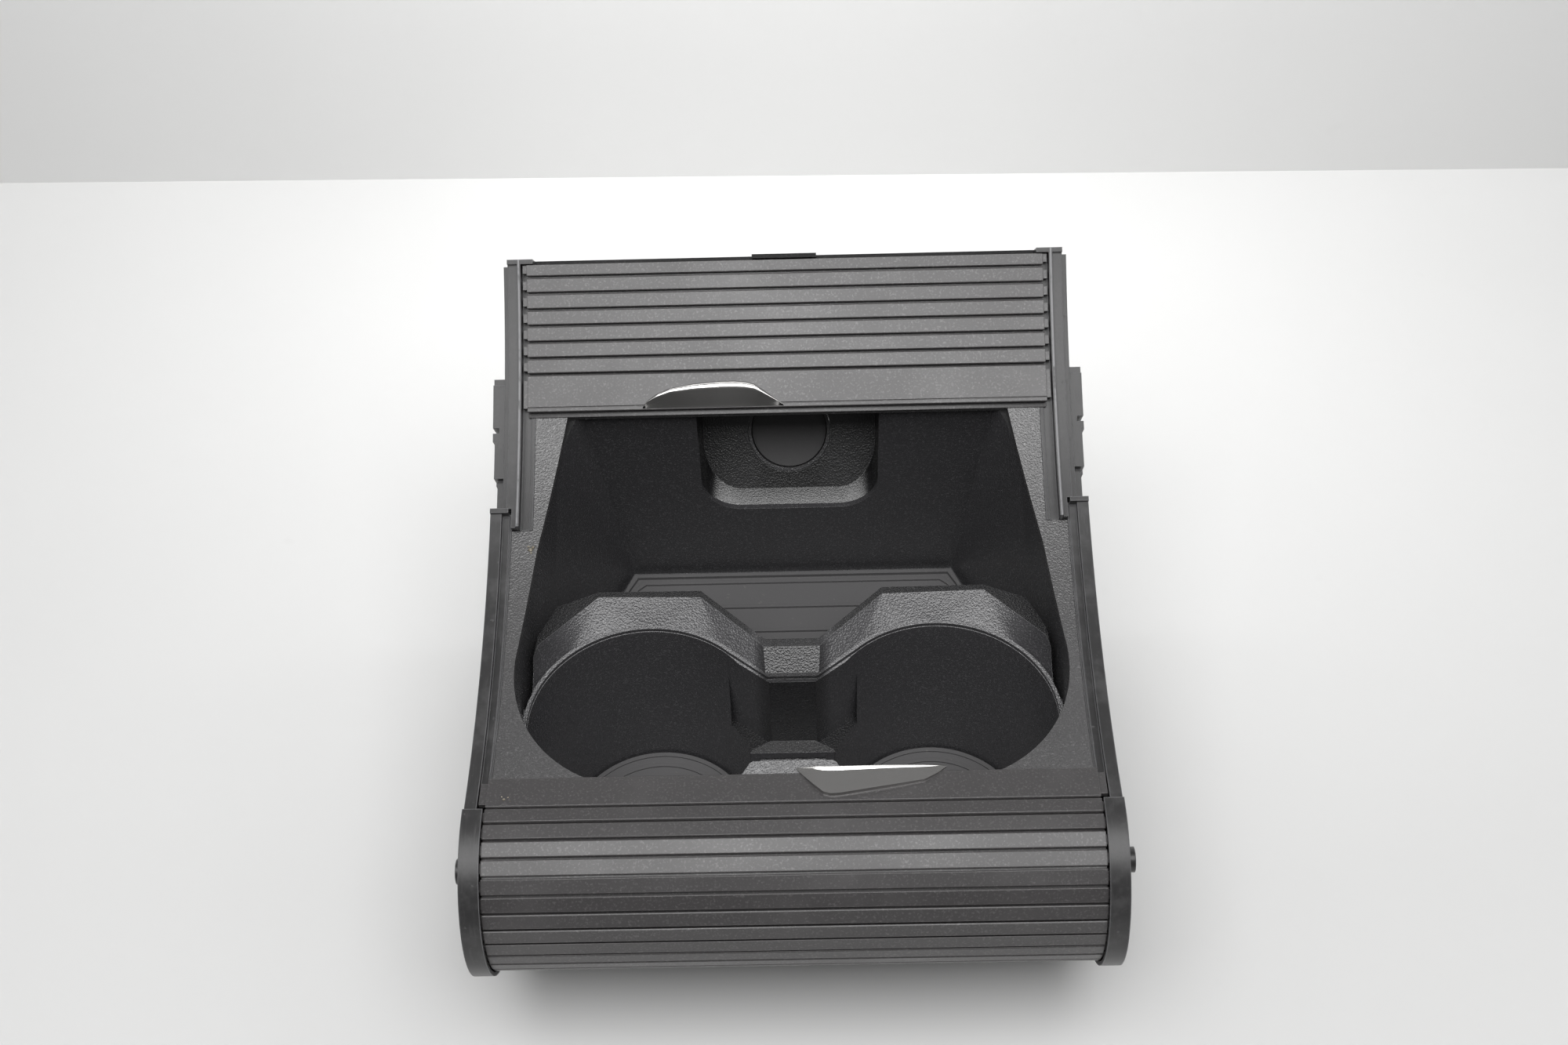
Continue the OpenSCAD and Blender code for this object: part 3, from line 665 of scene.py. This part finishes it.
class FinishSettings(bpy.types.PropertyGroup):
    """Colours and gloss of the finishes"""

    plastic: bpy.props.FloatVectorProperty(
        name="Plastic", description="Colour of the moulded plastic", subtype="COLOR",
        default=(0.052, 0.051, 0.052), min=0, max=1)
    inner: bpy.props.FloatVectorProperty(
        name="Inner plastic", description="Colour of the bin and wells", subtype="COLOR",
        default=(0.050, 0.049, 0.052), min=0, max=1)
    blind: bpy.props.FloatVectorProperty(
        name="Blinds", description="Colour of the slats", subtype="COLOR",
        default=(0.050, 0.047, 0.048), min=0, max=1)
    rubber: bpy.props.FloatVectorProperty(
        name="Mats", description="Colour of the rubber mats", subtype="COLOR",
        default=(0.118, 0.116, 0.118), min=0, max=1)
    chrome: bpy.props.FloatVectorProperty(
        name="Chrome", description="Colour of the pull handles", subtype="COLOR",
        default=(0.58, 0.57, 0.56), min=0, max=1)
    plastic_gloss: bpy.props.FloatProperty(
        name="Plastic roughness", description="Roughness of the moulded plastic",
        subtype="FACTOR", default=0.34, min=0, max=1)
    blind_gloss: bpy.props.FloatProperty(
        name="Blind roughness", description="Roughness of the slats",
        subtype="FACTOR", default=0.38, min=0, max=1)


class StudioSettings(bpy.types.PropertyGroup):
    """Table, wall and lights"""

    table: bpy.props.FloatVectorProperty(
        name="Table", description="Colour of the table", subtype="COLOR",
        default=(0.80, 0.80, 0.795), min=0, max=1)
    wall_y: bpy.props.FloatProperty(
        name="Wall distance", description="Distance of the wall behind", subtype="DISTANCE",
        default=0.3403, min=0.2, max=2, unit="LENGTH")
    wall_yaw: bpy.props.FloatProperty(
        name="Wall yaw", description="Turn of the wall about the vertical", subtype="ANGLE",
        default=math.radians(-1.31), min=-0.5, max=0.5)
    box_power: bpy.props.FloatProperty(
        name="Softbox power", description="Power of the overhead softbox", subtype="POWER",
        default=13.2, min=0, max=200)
    core_power: bpy.props.FloatProperty(
        name="Softbox core", description="Extra power in the softbox's middle", subtype="POWER",
        default=1.3, min=0, max=50)
    sky: bpy.props.FloatProperty(
        name="Fill", description="Strength of the even fill light", default=0.26, min=0, max=2)
    front_sky: bpy.props.FloatProperty(
        name="Fill from the front", description="Strength of the fill from behind the camera",
        default=0.07, min=0, max=2)
    wash: bpy.props.FloatProperty(
        name="Wall wash", description="Power of the lamp on the wall's middle", subtype="POWER",
        default=0.75, min=0, max=20)


def settings():
    scene = bpy.context.scene
    return scene.cup_holder_finish, scene.cup_holder_studio


# Operators


class DressHousing(bpy.types.Operator):
    """Gives the bezel, bin, wells, rails and frames their plastic"""

    bl_idname = "cup_holder.dress_housing"
    bl_label = "Housing"

    def execute(self, context):
        look, _ = settings()
        bezel = moulded_plastic(
            "bezel_plastic", share(look.plastic, 1.3), look.plastic_gloss - 0.02,
            grain_depth=0.10, dust=0.14)
        inner = moulded_plastic(
            "well_plastic", tuple(look.inner), look.plastic_gloss,
            grain_depth=0.10, dust=0.06, rim=True)
        # the ridge's plastic is the well plastic lightened by 1.25: painted light on its
        # up-facing faces
        ridge = moulded_plastic(
            "ridge_plastic_painted_light", share(look.inner, 1.25), 0.29,
            grain_depth=0.12, dust=0.10, lean=0.66)
        # the pocket's plastic is the well plastic darkened to 0.3: painted shade in its recess
        pocket = moulded_plastic(
            "pocket_plastic_painted_shade", share(look.inner, 0.3), 0.32,
            grain_depth=0.08, dust=0.04, lean=0.95, facing=POCKET_FACES_UP, level=True)
        rail = scuffed_plastic("rail_plastic", share(look.plastic, 0.62), 0.34)
        opened_bezel(bezel)
        for node in INNER:
            dress(node, inner)
        dress("cup_insert", ridge)
        dress("pocket_housing", pocket)
        for part in RAILS:
            for side in SIDES:
                dress(f"{part}_{side}", rail)
        dress("frame_screws", zinc_plate("zinc"))
        return {"FINISHED"}


class DressMats(bpy.types.Operator):
    """Gives the mats and the socket cover their rubber"""

    bl_idname = "cup_holder.dress_mats"
    bl_label = "Mats"

    def execute(self, context):
        look, _ = settings()
        rubber = mat_rubber("mat_rubber", tuple(look.rubber))
        for node in MATS:
            dress(node, rubber)
        return {"FINISHED"}


class DressBlinds(bpy.types.Operator):
    """Gives every slat and leading bar its satin plastic"""

    bl_idname = "cup_holder.dress_blinds"
    bl_label = "Blinds"

    def execute(self, context):
        look, _ = settings()
        plastic = slat_plastic("blind_plastic", tuple(look.blind), look.blind_gloss)
        for node in frame["nodes"]:
            if node.endswith("lead_bar") or "_slat_" in node:
                dress(node, plastic)
        closing_lip(plastic)
        return {"FINISHED"}


class MakeHandles(bpy.types.Operator):
    """Models both pull handles in satin chrome"""

    bl_idname = "cup_holder.make_handles"
    bl_label = "Pull handles"

    def execute(self, context):
        look, _ = settings()
        chrome = satin_chrome("satin_chrome", tuple(look.chrome))
        for name, node, body, *shape in HANDLES:
            piece = pull_handle(name, *shape)
            piece.data.materials.append(chrome)
            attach(piece, body)
            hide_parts(node)
        return {"FINISHED"}


class ScatterCrumbs(bpy.types.Operator):
    """Puts the few dried crumbs where the used part has them"""

    bl_idname = "cup_holder.scatter_crumbs"
    bl_label = "Crumbs"

    def execute(self, context):
        dry = dried_crumb("dried_crumb")
        for name, arc_mm, offset, body, slot, seed, spots in CRUMBS:
            ground = track_matrix(arc_mm) @ Matrix.Translation(Vector(offset) * MM)
            spots = [(ground @ (Vector(spot) * MM), size) for spot, size in spots]
            piece = crumbs(name, spots, seed)
            piece.data.materials.append(dry)
            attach(piece, body)
        return {"FINISHED"}


class SetStudio(bpy.types.Operator):
    """Sets the table, the wall, the lights and the camera"""

    bl_idname = "cup_holder.set_studio"
    bl_label = "Studio"

    def show(self, bm, name, colour, one_sided=False):
        """Ends a board of the stage in its paint."""
        piece = object_from(bm, name)
        piece.data.materials.append(painted_board(name + "_paint", colour, one_sided))

    def table(self, colour):
        bm = bmesh.new()
        bmesh.ops.create_cube(bm, size=1)
        bmesh.ops.scale(bm, vec=TABLE_SIZE, verts=bm.verts)
        bmesh.ops.bevel(bm, geom=bm.edges, offset=TABLE_EDGE, segments=2, profile=0.5,
                        affect="EDGES", material=-1)
        bmesh.ops.translate(bm, vec=(0, 0, -TABLE_SIZE[2] / 2), verts=bm.verts)
        self.show(bm, "table", colour)

    def wall(self, colour, distance, yaw):
        """One face turned to the object, so a view from behind it stays clear."""
        bm = bmesh.new()
        side = WALL_WIDTH / 2
        corners = ((-side, 0, 0), (side, 0, 0), (side, 0, WALL_HEIGHT), (-side, 0, WALL_HEIGHT))
        bmesh.ops.contextual_create(bm, geom=[bm.verts.new(corner) for corner in corners])
        bm.transform(Matrix.Translation((0, distance, 0)) @ Matrix.Rotation(yaw, 4, "Z"))
        bm.normal_update()
        if next(iter(bm.faces)).normal.y > 0:
            bmesh.ops.reverse_faces(bm, faces=bm.faces)
        self.show(bm, "wall", colour, one_sided=True)

    def lamp(self, name, place, aim, size, power):
        data = bpy.data.lights.new(name, "AREA")
        data.shape = "RECTANGLE"
        data.size, data.size_y = size
        data.energy = power
        lamp = bpy.data.objects.new(name, data)
        lamp.location = place
        lamp.rotation_euler = (Vector(aim) - Vector(place)).to_track_quat("-Z", "Y").to_euler()
        bpy.context.scene.collection.objects.link(lamp)

    def room(self, scene, sky, front_sky):
        """Even fill light, weaker from the front, and a pale background to the camera."""
        world = bpy.data.worlds.new("room")
        world.use_nodes = True
        light = NodeMaker(world.node_tree)
        way = light.node("ShaderNodeTexCoord", output="Generated")
        depth = light.node("ShaderNodeSeparateXYZ", None, {0: way}, output="Y")
        fade = dict(zip(("From Min", "From Max", "To Min", "To Max"),
                        (*FILL_FADE, front_sky, sky)))
        fill = light.node("ShaderNodeMapRange", None, {"Value": depth, **fade})
        seen = light.node("ShaderNodeLightPath", output="Is Camera Ray")
        strength = light.node("ShaderNodeMix", None, {0: seen, 2: fill, 3: BACKGROUND})
        background = world.node_tree.nodes["Background"]
        light.plug(background.inputs["Strength"], strength)
        light.plug(background.inputs["Color"], (1, 1, 1, 1))
        scene.world = world

    def camera(self, scene):
        data = bpy.data.cameras.new("camera")
        data.lens = CAMERA_LENS
        data.clip_start, data.clip_end = CAMERA_CLIP
        camera = bpy.data.objects.new("camera", data)
        camera.location = CAMERA_PLACE
        camera.rotation_euler = Euler([math.radians(turn) for turn in CAMERA_TURN])
        scene.collection.objects.link(camera)
        scene.camera = camera

    def execute(self, context):
        _, studio = settings()
        paint = tuple(studio.table)
        self.table(paint)
        self.wall(paint, studio.wall_y, studio.wall_yaw)
        wall_spot = (0, studio.wall_y, 0.26)
        for name, place, aim, size, power in (
                ("softbox", (0.0, -0.42, 1.25), AIM, (1.3, 0.8), studio.box_power),
                ("softbox_core", (0.02, -0.42, 1.24), AIM, (0.28, 0.6), studio.core_power),
                ("wall_wash", (0.0, 0.2, 0.36), wall_spot, (0.3, 0.1), studio.wash)):
            self.lamp(name, place, aim, size, power)
        self.room(context.scene, studio.sky, studio.front_sky)
        self.camera(context.scene)
        context.scene.view_settings.view_transform = "Standard"
        return {"FINISHED"}


class CupHolderPanel(bpy.types.Panel):
    """Lists the settings and the steps"""

    bl_idname = "VIEW3D_PT_cup_holder"
    bl_label = "Cup Holder"
    bl_space_type = "VIEW_3D"
    bl_region_type = "UI"
    bl_category = "Cup Holder"

    def draw(self, context):
        for group in settings():
            for name in group.__annotations__:
                self.layout.prop(group, name)
        for step in STEPS:
            self.layout.operator(step.bl_idname)


STEPS = (DressHousing, DressMats, DressBlinds, MakeHandles, ScatterCrumbs, SetStudio)
CLASSES = (FinishSettings, StudioSettings, *STEPS, CupHolderPanel)


def register():
    for cls in CLASSES:
        bpy.utils.register_class(cls)
    bpy.types.Scene.cup_holder_finish = bpy.props.PointerProperty(type=FinishSettings)
    bpy.types.Scene.cup_holder_studio = bpy.props.PointerProperty(type=StudioSettings)


def unregister():
    del bpy.types.Scene.cup_holder_studio
    del bpy.types.Scene.cup_holder_finish
    for cls in reversed(CLASSES):
        bpy.utils.unregister_class(cls)


def main():
    register()
    for step in STEPS:
        area, name = step.bl_idname.split(".")
        getattr(getattr(bpy.ops, area), name)()


if __name__ == "__main__":
    main()
